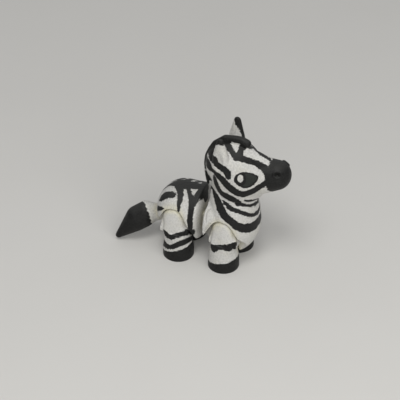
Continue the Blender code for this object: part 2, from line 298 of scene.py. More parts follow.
# Painted places in parts: the mane with its reach, and where the muzzle, the ears' insides and the tuft start
MANE_PAINT = (
    (17.6, 0.0, 142.4, 5.2), (8.0, 0.0, 145.6, 5.2), (0.0, 0.0, 145.0, 5.4), (-8.0, 0.0, 141.0, 6.8),
    (-18.0, 0.0, 132.0, 7.6), (-23.0, 0.0, 124.0, 6.4), (-26.0, 0.0, 118.0, 4.6),
)
MUZZLE_LOW = 96.0
EAR_LOW = 129.0
EAR_INNER = 11.0
EAR_SIDE = 17.0
EAR_SLANT = 0.8
EAR_FACING = 0.35
TOOTH_UP = 0.22
TOOTH_ACROSS = 0.13
TOOTH_LENGTH = 1.7

# Creases on the near side, printed as shallow grooves: x, y and width in pixels
FRONT_CREASES = {
    "waist_hook": ((205.4, 222.0, 0.8), (205.2, 215.0, 1.2), (206.6, 210.6, 1.4), (209.8, 209.2, 0.8)),
    "shoulder": ((203.6, 232.0, 0.8), (206.4, 227.4, 1.4), (209.6, 223.8, 1.4)),
}

# Relief in parts
CREASE_DEPTH = 1.5
CREASE_WIDTH = 1.4
DOME_BULGE = 2.4
DOME_EDGE = 4.0
DOME_FALL = 1.2
NOSTRIL_RADIUS = 2.9
NOSTRIL_STRETCH = (1.0, 1.0, 0.8)
NOSTRIL_DEPTH = 2.6
NOSTRIL_RIM = 1.3
NOSTRIL_RIM_AT = 1.25
NOSTRIL_RIM_WIDTH = 0.8

# Laying strokes: step and extra width in pixels, least facing, and the distance of what has no paint
STROKE_STEP = 1.5
STROKE_GROW = 0.7
LEAST_FACING = 0.6
UNPAINTED = 50.0
GAP_REACH = 10.0
LEAST_RUN = 1e-9
LEAST_LENGTH = 1e-12

# The print's unevenness: each noise's scale, detail and roughness
WAVER = (90.0, 2.0, 0.5)
JOG = (1100.0, 2.0, 0.6)
MOTTLE = (260.0, 4.0, 0.6)
BLOTCH = (1500.0, 3.0, 0.7)
SPECK = (2300.0, 1.0, 0.5)
GRIT = (5200.0, 3.0, 0.7)
FINE = (9000.0, 2.0, 0.6)
FLOOR_CLOUD = (30.0, 3.0, 0.5)

# Layers: how far they waver, how sharp their grooves are, and how far colour edges jog between them
WAVER_LAYERS = 0.35
GROOVE_SHARPNESS = 3.0
NEARLY_LEVEL = 1.02
STEP_MOST = 2.2
JOG_REACH = 7.5
JOG_STEP = 3.7
COLOUR_SOFTNESS = 0.16

# What tints the white and lightens the black, painted light and shade among it: ramps with start, end and
# weight, or weights alone
SPECK_RAMP = (0.38, 0.62)
# Painted light: the cream near the joints stands for light scattered in the gaps
GAP_GLOW_RAMP = (0.25, 1.0, 0.8)
CREAM_PATCHES = (0.25, 0.55)
CREAM_CLOUDS = (0.45, 0.7, 0.16)
WHITE_MOTTLE = (0.25, 0.8, 0.08)
WHITE_BLOTCH = (0.42, 0.68, 0.3)
# Painted shade in the white's layer grooves
WHITE_GROOVE_SHADE = 0.3
WHITE_SPECK = 0.36
WHITE_SHADE = 0.62
# Painted shade on the boots, and painted light that makes the legs' tops paler
BOOT_SHADE_RAMP = (1.1, 0.85, 0.3)
LEG_LIGHT_LIFT = 0.25
BLACK_BLOTCH = (0.45, 0.75, 0.15)
# Painted sheen: the black is paler where it faces up
BLACK_SHEEN_UP = (0.55, 1.0, 0.9)
# Painted sheen on the black along the layers' grooves
BLACK_GROOVE_SHEEN = 0.08
BLACK_SPECK = 0.2
BLACK_GLOW = 7.5

# Finish: roughness with its parts, the weights of the fine relief, and the shine
ROUGHNESS = 0.46
ROUGH_MOTTLE = 0.14
ROUGH_GROOVE = 0.10
ROUGH_BLACK = 0.06
RELIEF_FINE = 0.25
RELIEF_GRIT = 0.30
RELIEF_BLOTCH = 2.0
RELIEF_STRENGTH = 0.95
SHINE = 0.22

# The room: each light's name, its place along the view's right, its back and up, and width, watts and tint
LIGHTS = (
    ("high", (-0.08, 0.36, 0.36), 0.24, 1.6, (1.0, 0.995, 0.985)),
    ("front", (0.18, 0.53, -0.08), 0.50, 1.5, (1.0, 0.995, 0.97)),
)
ROOM_TINT = (0.97, 0.98, 1.0, 1.0)
ROOM_STRENGTH = 0.40
FLOOR_REACH = 4.0
FLOOR_SHADE = 0.97
FLOOR_ROUGHNESS = 0.8
FLOOR_SHINE = 0.1


def length(name, default, least, most, description):
    """A small length in metres that a user can change."""
    values = {"default": default, "min": least, "max": most, "precision": 6, "unit": "LENGTH"}
    return bpy.props.FloatProperty(name=name, description=description, **values)


def colour(name, default, description):
    """A colour that a user can change."""
    return bpy.props.FloatVectorProperty(name=name, description=description, default=default, subtype="COLOR")


class ZebraSizes(bpy.types.PropertyGroup):
    """Sizes of the print, in metres"""

    body_grain: length("Body grain", 0.000215, 0.00012, 0.0005, "Mesh size of the body's halves")
    small_grain: length("Leg and tail grain", 0.00017, 0.0001, 0.0005, "Mesh size of the legs and the tail")
    layer: length("Layer height", 0.00024, 0.00008, 0.0006, "Height of one printed layer")
    layer_depth: length("Layer depth", 0.00005, 0.0, 0.0002, "Depth of the grooves between layers")
    edge_wander: length("Colour edge wander", 0.00016, 0.0, 0.0005, "How far a colour's edge strays")


class ZebraColours(bpy.types.PropertyGroup):
    """Colours of the print and the floor"""

    white: colour("White plastic", (0.612, 0.604, 0.578), "The white print")
    # The cream tints the white near the joints as a painted glow of scattered light, and in clouds all over
    cream: colour("White in the gaps", (0.62, 0.58, 0.39), "A painted glow of scattered light near a joint")
    black: colour("Black plastic", (0.0040, 0.0040, 0.0038), "The black print")
    iris: colour("Iris", (0.026, 0.031, 0.026), "The eye between its outline and the pupil")
    floor: colour("Floor", (0.62, 0.61, 0.585), "The plain ground")


class Half:
    """One half of the figure: its own frame in parts, on the ground between its two hooves."""

    def __init__(self, right_sole, left_sole):
        across = left_sole - right_sole
        self.origin = np.array((right_sole + left_sole) / 2)
        turn = math.atan2(-across.x, across.y)
        cosine, sine = math.cos(turn), math.sin(turn)
        self.axes = np.array(((cosine, sine, 0.0), (-sine, cosine, 0.0), (0.0, 0.0, 1.0)))

    def to_world(self, local):
        """Places in parts to places in metres."""
        return np.asarray(local, float) * PART @ self.axes + self.origin

    def to_local(self, world):
        """Places in metres to places in parts."""
        return (np.asarray(world, float) - self.origin) @ self.axes.T / PART

    def meets_side(self, ray, side):
        """Where a ray of the view crosses an upright plane to one side, in parts."""
        start = self.to_local(VIEW.eye)
        run = self.to_local(VIEW.eye + ray) - start
        return start + run * (side - start[1]) / run[1]


SOLES = {item["name"]: Vector(item["pos_m"]) for item in frame["record"]["mounts"]}
FRONT = Half(SOLES["sole_front_right"], SOLES["sole_front_left"])
REAR = Half(SOLES["sole_hind_right"], SOLES["sole_hind_left"])


def folded(local):
    """Places mirrored to the near side."""
    near = np.array(local, float)
    near[:, 1] = -np.abs(near[:, 1])
    return near


class PixelView:
    """The camera's view: turns pixels into rays, and places into pixels."""

    def __init__(self):
        azimuth = math.radians(VIEW_AZIMUTH)
        elevation = math.radians(VIEW_ELEVATION)
        self.right = Vector((math.cos(azimuth), math.sin(azimuth), 0.0))
        level = math.cos(elevation)
        self.back = Vector((math.sin(azimuth) * level, -math.cos(azimuth) * level, math.sin(elevation)))
        self.up = self.back.cross(self.right)
        across = (FRONT_GROUND_PIXEL[0] - IMAGE_SIZE / 2) * PART
        down = (FRONT_GROUND_PIXEL[1] - IMAGE_SIZE / 2) * PART
        self.centre = Vector(FRONT.origin) - self.right * across + self.up * down
        self.distance = IMAGE_SIZE * PART / VIEW_SENSOR * VIEW_LENS
        self.eye = self.centre + self.back * self.distance

    def ray(self, x, y):
        """The direction from the camera through a pixel."""
        across = (x - IMAGE_SIZE / 2) * PART
        down = (y - IMAGE_SIZE / 2) * PART
        return (self.centre + self.right * across - self.up * down - self.eye).normalized()

    def pixels(self, world):
        """The pixels of places in metres."""
        away = np.asarray(world, float) - np.array(self.eye)
        depth = -(away @ np.array(self.back)) / self.distance
        x = IMAGE_SIZE / 2 + away @ np.array(self.right) / depth / PART
        y = IMAGE_SIZE / 2 - away @ np.array(self.up) / depth / PART
        return np.stack((x, y), axis=1)

    def matrix(self):
        """The camera's place and turn."""
        turn = Matrix((self.right, self.up, self.back)).transposed().to_4x4()
        return Matrix.Translation(self.eye) @ turn


VIEW = PixelView()


def ball(centre, radii, grow=0.0):
    """Points of an ellipsoid in parts, grown by a length in metres."""
    tilt = np.pi * np.arange(BALL_RINGS + 1) / BALL_RINGS
    turn = math.tau * np.arange(BALL_SEGMENTS) / BALL_SEGMENTS
    tilt, turn = (grid.ravel() for grid in np.meshgrid(tilt, turn))
    unit = np.stack((np.sin(tilt) * np.cos(turn), np.sin(tilt) * np.sin(turn), np.cos(tilt)), axis=1)
    return np.array(centre) + unit * (np.array(radii) + grow / PART)


def mirrored(mass):
    """A mass's place and half-sizes on the other side."""
    (along, side, up), radii = mass
    return (along, -side, up), radii


def disc(side, up, radius):
    """Points of a level circle over the hooves' line in parts."""
    turn = math.tau * np.arange(BALL_SEGMENTS) / BALL_SEGMENTS
    level = np.full(BALL_SEGMENTS, float(up))
    return np.stack((radius * np.cos(turn), side + radius * np.sin(turn), level), axis=1)


def boot_points(side, grow):
    """Points of a boot: a hoof that narrows to an ankle with a rounded rim."""
    middle = side * TRACK / 2
    rings = [disc(middle, -SOLE_DEPTH, HOOF_RADIUS + grow), disc(middle, HOOF_HEIGHT, HOOF_RADIUS + grow)]
    for depth in range(EDGE_STEPS):
        bend = math.pi / 2 * depth / (EDGE_STEPS - 1)
        reach = ANKLE_RADIUS - RIM_ROUND + RIM_ROUND * math.cos(bend) + grow
        rings.append(disc(middle, BOOT_HEIGHT - RIM_ROUND + RIM_ROUND * math.sin(bend) + grow, reach))
    return np.concatenate(rings)


def post_points(shift, side):
    """Points of the flat-sided post that carries a leg's round top, with rounded rims."""
    points = []
    for turn in math.tau * np.arange(BALL_SEGMENTS) / BALL_SEGMENTS:
        for bend in math.pi / 2 * np.arange(EDGE_STEPS) / (EDGE_STEPS - 1):
            reach = DOME_RADIUS - POST_ROUND + POST_ROUND * math.cos(bend)
            for face, sign in ((DOME_OUT, 1.0), (LEG_IN, -1.0)):
                out = side * (face - sign * POST_ROUND * (1.0 - math.sin(bend)))
                points.append((shift + reach * math.cos(turn), out, DOME_HEIGHT + reach * math.sin(turn)))
    top = np.array(points)
    return np.concatenate((top, top - np.array((shift, 0.0, DOME_HEIGHT - HOOF_HEIGHT))))


def tent_points(shift, side, outer, inner, spread, low, grow):
    """Points of a round top with sloping flanks, down to a height in parts."""
    points = []
    for out, sign in ((outer, 1.0), (inner, -1.0)):
        away = side * (out + sign * grow)
        reach = DOME_RADIUS + grow
        for turn in math.pi * np.arange(BALL_SEGMENTS // 2 + 1) / (BALL_SEGMENTS // 2):
            points.append((shift + reach * math.cos(turn), away, DOME_HEIGHT + reach * math.sin(turn)))
        for end in (-1.0, 1.0):
            for up in (SHOULDER_LOW, low):
                points.append((shift + end * (spread + grow), away, up))
    return np.array(points)


def tongue_points(along, grow):
    """Points of the waist's level round tongue in parts, and its neck towards the front half."""
    radius = (TONGUE_RADIUS + grow) / PART
    half = (TONGUE_THICKNESS / 2 + grow) / PART
    turn = math.tau * np.arange(BALL_SEGMENTS) / BALL_SEGMENTS
    points = []
    for forward in (0.0, TONGUE_RADIUS / PART):
        for up in (-half, half):
            level = np.full(BALL_SEGMENTS, TONGUE_UP + up)
            x, y = along + forward + radius * np.cos(turn), radius * np.sin(turn)
            points.append(np.stack((x, y, level), axis=1))
    return np.concatenate(points)


def tail_root(grow):
    """Points of the tail's knuckle and collar."""
    knuckle = ball(TAIL_ROOT, (0.0, 0.0, 0.0), TAIL_KNUCKLE_RADIUS + grow)
    return np.concatenate((knuckle, ball(*TAIL_COLLAR, grow)))


def add_hull(target, points, half):
    """Wrap points in their tightest convex form and add it to the mesh."""
    form = bmesh.new()
    for point in half.to_world(points):
        form.verts.new(point)
    bmesh.ops.remove_doubles(form, verts=form.verts, dist=PART * SAME_POINT)
    result = bmesh.ops.convex_hull(form, input=form.verts)
    inner = result["geom_interior"] + result["geom_unused"]
    spare = {item for item in inner if isinstance(item, bmesh.types.BMVert)}
    bmesh.ops.delete(form, geom=list(spare), context="VERTS")
    bmesh.ops.recalc_face_normals(form, faces=form.faces)
    carrier = bpy.data.meshes.new("form")
    form.to_mesh(carrier)
    form.free()
    target.from_mesh(carrier)
    bpy.data.meshes.remove(carrier)


def make_scratch(name, forms, half):
    """An object of closed hulls that is worked on and then removed."""
    target = bmesh.new()
    for points in forms:
        add_hull(target, points, half)
    mesh = bpy.data.meshes.new(name)
    target.to_mesh(mesh)
    target.free()
    made = bpy.data.objects.new(name, mesh)
    bpy.context.scene.collection.objects.link(made)
    return made


def melt(made, grain, rounds):
    """Join forms into one skin and soften it."""
    skin = made.modifiers.new("skin", "REMESH")
    skin.mode = "VOXEL"
    skin.voxel_size = grain
    soften = made.modifiers.new("soften", "SMOOTH")
    soften.factor = SOFTEN_SHARE
    soften.iterations = rounds


def carve(made, tool, operation="DIFFERENCE"):
    """Cut a tool body away from a piece, or join it on."""
    change = made.modifiers.new(tool.name, "BOOLEAN")
    change.operation = operation
    change.solver = "MANIFOLD"
    change.object = tool


def baked(made, node):
    """The finished mesh of a worked object, fitted to its solid's box."""
    bpy.context.view_layer.update()
    scene_state = bpy.context.evaluated_depsgraph_get()
    mesh = bpy.data.meshes.new_from_object(made.evaluated_get(scene_state))
    mesh.name = node + "_skin"
    places = read_places(mesh)
    low, high = (np.array(corner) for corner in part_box(node))
    scale = (high - low) / (places.max(axis=0) - places.min(axis=0))
    write_places(mesh, low + (places - places.min(axis=0)) * scale)
    return mesh


def read_places(mesh):
    """A mesh's vertices as an array."""
    places = np.empty(len(mesh.vertices) * 3)
    mesh.vertices.foreach_get("co", places)
    return places.reshape(-1, 3)


def write_places(mesh, places):
    """Put an array back into a mesh's vertices."""
    mesh.vertices.foreach_set("co", np.ascontiguousarray(places, dtype=np.float32).ravel())
    mesh.update()


def remove_scratch(objects):
    """Delete worked objects and their meshes."""
    for item in objects:
        mesh = item.data
        bpy.data.objects.remove(item, do_unlink=True)
        bpy.data.meshes.remove(mesh)


def paint(mesh, node, edge):
    """Keep each vertex's distance to the black and to the next piece."""
    write_field(mesh, "print_edge", edge)
    write_field(mesh, "gap_near", gap_nearness(mesh, node))


def place_piece(mesh, node, material):
    """Put a finished mesh in the place of its solid."""
    piece = bpy.data.objects.new(node + "_print", mesh)
    bpy.context.scene.collection.objects.link(piece)
    mesh.materials.clear()
    mesh.materials.append(material)
    mesh.shade_smooth()
    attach(piece, "root")
    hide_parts(node)


def mesh_tree(mesh):
    """A search tree of a mesh."""
    vertices = [tuple(vertex.co) for vertex in mesh.vertices]
    faces = [tuple(face.vertices) for face in mesh.polygons]
    return BVHTree.FromPolygons(vertices, faces)


def cast(tree, x, y):
    """The place and facing where a pixel's ray meets the piece, or comes nearest to it."""
    direction = VIEW.ray(x, y)
    place, normal, _, _ = tree.ray_cast(VIEW.eye, direction)
    if place is None:
        depth = (VIEW.centre - VIEW.eye).dot(-VIEW.back)
        place, normal, _, _ = tree.find_nearest(VIEW.eye + direction * depth)
    return place, normal


def laid_points(pixels, tree, half):
    """Where pixels meet the piece, in parts."""
    return half.to_local(np.array([cast(tree, x, y)[0] for x, y in pixels]))


def vertex_normals(mesh):
    """The facing of each vertex."""
    return np.array([vertex.normal for vertex in mesh.vertices])


def resampled(path):
    """A pixel path with points at even steps."""
    path = np.array(path, float)
    steps = np.linalg.norm(np.diff(path[:, :2], axis=0), axis=1)
    reached = np.concatenate(((0.0,), np.cumsum(steps)))
    count = max(2, int(reached[-1] / STROKE_STEP) + 1)
    wanted = np.linspace(0.0, reached[-1], count)
    return np.stack([np.interp(wanted, reached, path[:, column]) for column in range(3)], axis=1)


def laid_stroke(path, tree, half):
    """A pixel stroke laid on the piece: places and half widths in parts, as wide as they look."""
    samples = resampled(path)
    hits = [cast(tree, x, y) for x, y, _ in samples]
    places, normals = (np.array(part) for part in zip(*hits))
    along = np.gradient(places, axis=0)
    along /= np.linalg.norm(along, axis=1)[:, None] + LEAST_LENGTH
    across = np.cross(normals, along)
    back = np.array(VIEW.back)
    seen_along = along - np.outer(along @ back, back)
    seen_along /= np.linalg.norm(seen_along, axis=1)[:, None] + LEAST_LENGTH
    seen_across = across - np.outer(across @ back, back)
    seen_across -= np.sum(seen_across * seen_along, axis=1)[:, None] * seen_along
    facing = np.clip(np.linalg.norm(seen_across, axis=1), LEAST_FACING, 1.0)
    return np.column_stack((half.to_local(places), (samples[:, 2] + STROKE_GROW) / 2 / facing))


def laid_folded(strokes, tree, half):
    """Strokes laid on the piece and mirrored to the near side."""
    laid = [laid_stroke(path, tree, half) for path in strokes.values()]
    for stroke in laid:
        stroke[:, :3] = folded(stroke[:, :3])
    return laid


def stroke_depth(places, strokes):
    """Signed distance in parts to the strokes' edges, negative inside."""
    nearest = np.full(len(places), UNPAINTED)
    for stroke in strokes:
        for start, end in zip(stroke[:-1], stroke[1:]):
            run = end[:3] - start[:3]
            share = np.clip((places - start[:3]) @ run / max(run @ run, LEAST_RUN), 0.0, 1.0)
            middle = start[:3] + share[:, None] * run
            reach = start[3] + share * (end[3] - start[3])
            nearest = np.minimum(nearest, np.linalg.norm(places - middle, axis=1) - reach)
    return nearest


def outline_depth(points, outline):
    """Signed distance in pixels to a closed outline, negative inside."""
    outline = np.array(outline, float)
    nearest = np.full(len(points), UNPAINTED)
    inside = np.zeros(len(points), bool)
    for start, end in zip(outline, np.roll(outline, -1, axis=0)):
        run = end - start
        share = np.clip((points - start) @ run / (run @ run), 0.0, 1.0)
        nearest = np.minimum(nearest, np.linalg.norm(points - start - share[:, None] * run, axis=1))
        spans = (start[1] > points[:, 1]) != (end[1] > points[:, 1])
        rise = np.where(abs(run[1]) > LEAST_RUN, run[1], LEAST_RUN)
        crossing = start[0] + (points[:, 1] - start[1]) * run[0] / rise
        inside ^= spans & (points[:, 0] < crossing)
    return np.where(inside, -nearest, nearest)


def rounded_outline(outline):
    """A closed outline with its corners worn round."""
    points = np.array(outline, float)
    for _ in range(CORNER_CUTS):
        following = np.roll(points, -1, axis=0)
        keep = 1.0 - CORNER_CUT
        pairs = (points * keep + following * CORNER_CUT, points * CORNER_CUT + following * keep)
        points = np.stack(pairs, axis=1).reshape(-1, 2)
    return points


def write_field(mesh, name, values):
    """Keep a number for each vertex."""
    field = mesh.attributes.new(name, "FLOAT", "POINT")
    field.data.foreach_set("value", np.ascontiguousarray(values, dtype=np.float32))


def on_plane(border, columns, target, places):
    """One direction of places on the plane through a border, worked out from the other directions."""
    rows = np.column_stack([np.ones(len(border))] + [border[:, column] for column in columns])
    share = np.linalg.lstsq(rows, border[:, target], rcond=None)[0]
    reached = share[0]
    for weight, column in zip(share[1:], columns):
        reached = reached + weight * places[:, column]
    return reached


def gap_nearness(mesh, own):
    """How near each vertex is to another solid, from 0 far away to 1 in contact."""
    reach = GAP_REACH * PART
    near = np.full(len(mesh.vertices), reach)
    places = [vertex.co.copy() for vertex in mesh.vertices]
    for name, node in frame["nodes"].items():
        if name == own:
            continue
        low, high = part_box(name)
        tree = mesh_tree(node.data)
        for index, place in enumerate(places):
            if any(place[axis] < low[axis] - reach or place[axis] > high[axis] + reach for axis in range(3)):
                continue
            hit = tree.find_nearest(place, near[index])
            if hit[0] is not None:
                near[index] = min(near[index], hit[3])
    return 1.0 - near / reach


class Socket:
    """One output of a shader node, with arithmetic."""

    def __init__(self, graph, output):
        self.graph = graph
        self.output = output

    def maths(self, operation, other, reflected=False):
        first, second = (other, self) if reflected else (self, other)
        return self.graph.node("ShaderNodeMath", {"operation": operation}, {0: first, 1: second})

    def alone(self, operation):
        return self.graph.node("ShaderNodeMath", {"operation": operation}, {0: self})

    def least(self, other):
        return self.maths("MINIMUM", other)

    def fade(self, start, end):
        """0 at start and 1 at end, with a soft ramp between."""
        inputs = {"Value": self, "From Min": start, "From Max": end, "To Min": 0.0, "To Max": 1.0}
        return self.graph.node("ShaderNodeMapRange", {"interpolation_type": "SMOOTHSTEP"}, inputs)

    def ramp(self, start, end, weight):
        """A fade that counts for a weight."""
        return self.fade(start, end) * weight


OPERATORS = {"add": "ADD", "sub": "SUBTRACT", "mul": "MULTIPLY", "truediv": "DIVIDE", "pow": "POWER"}
for word, kind in OPERATORS.items():
    setattr(Socket, f"__{word}__", lambda self, other, kind=kind: self.maths(kind, other))
    setattr(Socket, f"__r{word}__", lambda self, other, kind=kind: self.maths(kind, other, True))


class Graph:
    """The node tree of one material."""

    def __init__(self, name):
        self.material = bpy.data.materials.new(name)
        self.material.use_nodes = True
        self.tree = self.material.node_tree
        self.shader = self.tree.nodes["Principled BSDF"]

    def feed(self, target, value):
        """Link a socket, or set a value, on one input."""
        if isinstance(value, Socket):
            self.tree.links.new(value.output, target)
        elif hasattr(value, "__len__") and target.type == "RGBA":
            target.default_value = (*value, 1.0)
        else:
            target.default_value = value

    def finish(self, surface, rough, shine):
        """Feed the surface's colour, roughness and shine."""
        for name, value in (("Base Color", surface), ("Roughness", rough), ("Specular IOR Level", shine)):
            self.feed(self.shader.inputs[name], value)

    def node(self, kind, settings, inputs, output=0):
        """Any node, from its type, its settings and its inputs."""
        made = self.tree.nodes.new(kind)
        for name, value in settings.items():
            setattr(made, name, value)
        for key, value in inputs.items():
            self.feed(made.inputs[key], value)
        return Socket(self, made.outputs[output])

    def blend(self, share, first, second):
        """One colour over another."""
        settings = {"data_type": "RGBA", "clamp_factor": True}
        return self.node("ShaderNodeMix", settings, {"Factor": share, 6: first, 7: second}, 2)

    def field(self, name):
        """A number kept on the mesh."""
        return self.node("ShaderNodeAttribute", {"attribute_name": name}, {}, "Fac")

    def axis(self, vector, name):
        """One direction of a vector."""
        return self.node("ShaderNodeSeparateXYZ", {}, {"Vector": vector}, name)

    def noise(self, place, scale, detail, roughness):
        """Soft noise from 0 to 1."""
        inputs = {"Vector": place, "Scale": scale, "Detail": detail, "Roughness": roughness}
        return self.node("ShaderNodeTexNoise", {"noise_dimensions": "3D"}, inputs)


def make_print_material(name, with_eye=False, with_boot_shade=False):
    """Matte plastic printed in two colours: layers, ragged colour edges, and painted light and shade: a warm
    glow in the gaps, shade on the boots and in the grooves, sheen on the black.
    """
    sizes, colours = bpy.context.scene.zebra_sizes, bpy.context.scene.zebra_colours
    graph = Graph(name)
    place = graph.node("ShaderNodeTexCoord", {}, {}, "Object")
    height = graph.axis(place, "Z")
    level = graph.axis(graph.node("ShaderNodeNewGeometry", {}, {}, "Normal"), "Z").alone("ABSOLUTE")

    # Layers, and colour edges that jog from one to the next
    waver = (graph.noise(place, *WAVER) - 0.5) * WAVER_LAYERS
    count = height / sizes.layer + waver
    phase = count.alone("FRACT")
    groove = ((phase - 0.5).alone("ABSOLUTE") * 2.0) ** GROOVE_SHARPNESS
    steep = (NEARLY_LEVEL - level * level) ** 0.5
    step_out = (level / steep).least(STEP_MOST) * (sizes.layer / PART / 2)
    wander = sizes.edge_wander / PART
    up = count.alone("FLOOR") * (sizes.layer * JOG_STEP)
    inputs = {"X": graph.axis(place, "X"), "Y": graph.axis(place, "Y"), "Z": up}
    jog = graph.noise(graph.node("ShaderNodeCombineXYZ", {}, inputs), *JOG) - 0.5
    ragged = (phase - 0.5) * step_out + jog * (wander * JOG_REACH)
    black_share = (graph.field("print_edge") + ragged).fade(COLOUR_SOFTNESS, -COLOUR_SOFTNESS)

    # White with cream clouds and a painted warm glow of light scattered in the gaps, and black that is paler
    # where it faces up, a painted sheen
    mottle = graph.noise(place, *MOTTLE)
    blotch = graph.noise(place, *BLOTCH)
    speck = graph.noise(place, *SPECK).fade(*SPECK_RAMP)
    grit = graph.noise(place, *GRIT)
    # Painted warm glow of light scattered in the gaps, with cream clouds all over
    gaps = graph.field("gap_near").ramp(*GAP_GLOW_RAMP)
    cream_and_glow_share = gaps * mottle.fade(*CREAM_PATCHES) + mottle.ramp(*CREAM_CLOUDS)
    white = graph.blend(cream_and_glow_share, colours.white, colours.cream)
    # The white's tone: mottle, blotches and specks as the print's grain, and painted shade in the layer
    # grooves
    tone = mottle.ramp(*WHITE_MOTTLE) + groove * WHITE_GROOVE_SHADE + blotch.ramp(*WHITE_BLOTCH)
    tone = tone + speck * WHITE_SPECK
    # Painted shade: the boots darker, and painted light: the legs' tops paler
    if with_boot_shade:
        start, end, weight = BOOT_SHADE_RAMP
        boot_top = BOOT_HEIGHT * PART
        tone = tone + height.ramp(boot_top * start, boot_top * end, weight) - LEG_LIGHT_LIFT
    white = graph.blend(tone, white, tuple(part * WHITE_SHADE for part in colours.white))
    # The black's paler share: blotches and specks as the print's grain, painted sheen along the layers'
    # grooves, and painted sheen where it faces up
    dust_and_sheen = groove * BLACK_GROOVE_SHEEN + blotch.ramp(*BLACK_BLOTCH) + speck * BLACK_SPECK + level.ramp(*BLACK_SHEEN_UP)
    black = graph.blend(dust_and_sheen, colours.black, tuple(part * BLACK_GLOW for part in colours.black))
    shown = graph.blend(black_share, white, black)
    if with_eye:
        eye = graph.field("eye_edge") + ragged * EYE_RAGGED
        glint = graph.field("glint_edge") + ragged * EYE_RAGGED
        iris_share = eye.fade(*IRIS_RIM) * glint.fade(*PUPIL_RIM)
        inner = graph.blend(iris_share * grit.fade(*IRIS_GRIT), black, colours.iris)
        inner = graph.blend(glint.fade(EYE_SOFTNESS, -EYE_SOFTNESS), inner, white)
        shown = graph.blend(eye.fade(EYE_SOFTNESS, -EYE_SOFTNESS), shown, inner)

    # Finish
    rough = ROUGHNESS + mottle * ROUGH_MOTTLE + groove * ROUGH_GROOVE - black_share * ROUGH_BLACK
    fine = graph.noise(place, *FINE)
    relief = (1.0 - groove) + fine * RELIEF_FINE + grit * RELIEF_GRIT + blotch * RELIEF_BLOTCH
    inputs = {"Height": relief, "Distance": sizes.layer_depth, "Strength": RELIEF_STRENGTH}
    graph.finish(shown, rough, SHINE)
    graph.feed(graph.shader.inputs["Normal"], graph.node("ShaderNodeBump", {}, inputs, "Normal"))
    return graph.material


def round_dome(local, shift, side):
    """Round the flat outer face of a leg's top, in parts."""
    across = (local[:, 0] - shift) / DOME_RADIUS
    above = (local[:, 2] - BOOT_HEIGHT - RIM_ROUND) / (DOME_HEIGHT + DOME_RADIUS - BOOT_HEIGHT)
    share = np.clip((local[:, 1] * side - LEG_IN) / (DOME_OUT - LEG_IN), 0.0, 1.0)
    fall = np.where(above > 0.0, above**2 + np.minimum(above * DOME_EDGE, 1.0) * across**2, 0.0)
    local[:, 1] -= side * share * np.minimum(fall, DOME_FALL) * DOME_BULGE


def make_leg_print(node, half, shift, side, strokes, hoof_line, grain, material):
    """One leg in white with its black bands and black hoof."""
    forms = [
        boot_points(side, 0.0),
        post_points(shift, side),
        tent_points(shift, side, SHOULDER_OUT, LEG_IN, SHOULDER_SPREAD, BOOT_HEIGHT - RIM_ROUND, 0.0),
    ]
    leg = make_scratch(node + "_forms", forms, half)
    melt(leg, grain, LEG_ROUNDS)
    corners = np.array([(x, y, z) for x in (-1, 1) for y in (-1, 1) for z in (-1, 0)], float) * FAR_AWAY
    ground = make_scratch(node + "_ground", [corners], half)
    carve(leg, ground)
    mesh = baked(leg, node)
    remove_scratch([leg, ground])
    local = half.to_local(read_places(mesh))
    round_dome(local, shift, side)
    write_places(mesh, half.to_world(local))
    near = folded(local)

    # The left leg takes the right one's pattern, laid on the right leg's solid
    tree = mesh_tree(mesh if side < 0 else frame["nodes"][node.replace("left", "right")].data)
    depth = stroke_depth(near, laid_folded(strokes, tree, half))
    hoof_top = on_plane(folded(laid_points(hoof_line, tree, half)), (0,), 2, near)
    paint(mesh, node, np.minimum(depth, near[:, 2] - hoof_top))
    place_piece(mesh, node, material)


def cut_leg_rooms(body, half, shift):
    """Cut the arches and the boots' room for both legs."""
    tools = []
    grow = JOINT_GAP / PART
    for side in (-1.0, 1.0):
        arch = tent_points(shift, side, FAR_AWAY, LEG_IN, ARCH_SPREAD, HOOF_HEIGHT, grow)
        for forms in (arch, boot_points(side, grow)):
            tool = make_scratch(f"{body.name}_room_{len(tools)}", [forms], half)
            carve(body, tool)
            tools.append(tool)
    return tools


def mane_forms():
    """The mane ridge: short hulls along its crest."""
    forms = []
    heart = np.array((SKULL[0][0], 0.0, SKULL[0][2]))
    for start, end in zip(MANE_CREST[:-1], MANE_CREST[1:]):
        points = []
        for along, up in (start, end):
            crest = np.array((along, 0.0, up))
            inward = (heart - crest) / np.linalg.norm(heart - crest)
            points.append(ball(crest + inward * MANE_RADIUS, (MANE_RADIUS,) * 3))
        forms.append(np.concatenate(points))
    return forms


def hull_of(*masses):
    """Points of several masses, to be wrapped together."""
    return np.concatenate([ball(*mass) for mass in masses])


def front_forms():
    """The front half's masses, as its solid has them."""
    forms = [
        hull_of(CHEST, FRONT_WAIST),
        hull_of(CHEST, SHOULDERS),
        hull_of(SHOULDERS, NECK),
        hull_of(NECK, NECK_TOP),
        hull_of(SKULL, CHEEKS, JAW_RIM),
        hull_of(CHEEKS, BROW, MUZZLE),
        hull_of(BRIDGE, NOSE_TOP),
    ]
    forms += mane_forms()
    ear = (EAR_TIP, EAR_BASE, EAR_FOOT)
    for tip, base, foot in (ear, map(mirrored, ear)):
        forms += [hull_of(tip, base), hull_of(base, foot)]
    return forms


def press(mesh, places, depth):
    """Push the skin inward along its facing, by depths in parts."""
    write_places(mesh, places - vertex_normals(mesh) * (depth * PART)[:, None])


def press_creases(mesh, tree):
    """Press the shallow creases beside the waist."""
    places = read_places(mesh)
    depth = stroke_depth(folded(FRONT.to_local(places)), laid_folded(FRONT_CREASES, tree, FRONT))
    press(mesh, places, np.clip(0.5 - depth / CREASE_WIDTH, 0.0, 1.0) ** 2 * CREASE_DEPTH)


